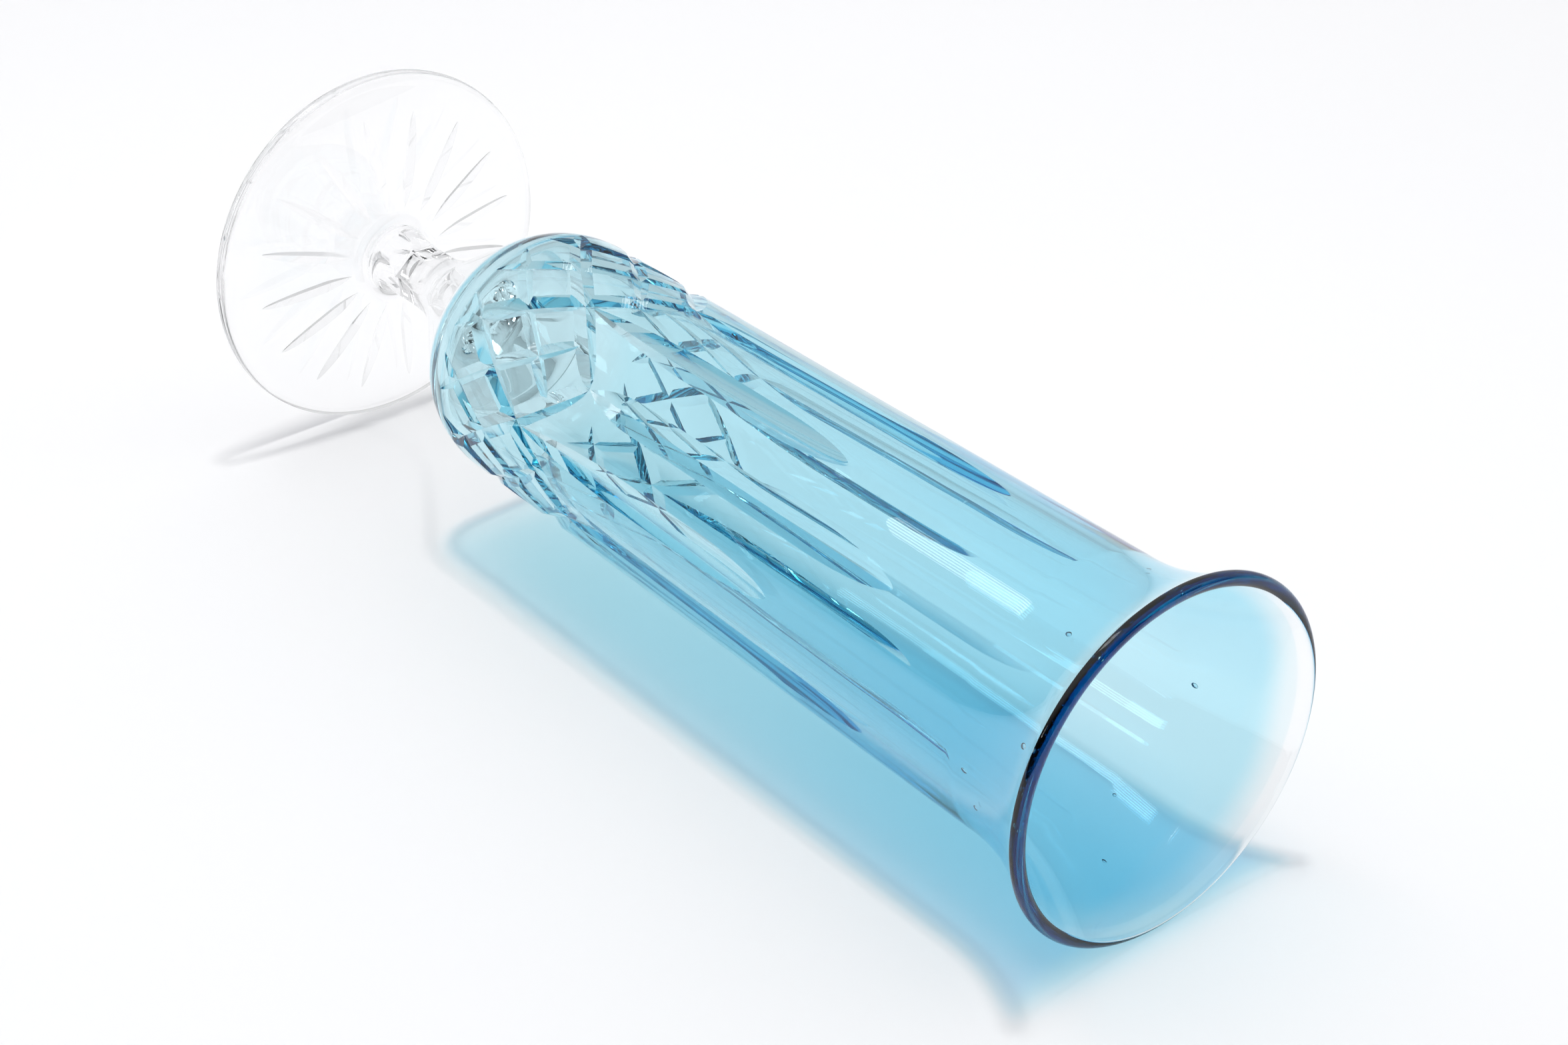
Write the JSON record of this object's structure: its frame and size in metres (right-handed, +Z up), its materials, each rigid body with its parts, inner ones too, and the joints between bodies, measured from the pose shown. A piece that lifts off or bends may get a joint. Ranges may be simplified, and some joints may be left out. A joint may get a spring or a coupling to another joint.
{
  "type": "cut crystal vase",
  "caption": "Tall footed glass vase with a flared mouth, a blue lined bowl cut with wedges and a crossed band, a faceted stem and a star cut foot.",
  "frame": {"origin": "centre of the foot's underside, on the vase's axis", "axes": "+Z up the vase's axis from the foot to the mouth; +X through the middle of a long wedge cut"},
  "size_m": [0.075, 0.075, 0.229],
  "materials": {
    "clear_crystal": "polished clear crystal",
    "blue_glass": "polished aqua blue glass"
  },
  "bodies": {
    "root": {"bowl_casing": "clear_crystal", "bowl_lining": "blue_glass", "stem": "clear_crystal", "foot": "clear_crystal"}
  },
  "joints": []
}
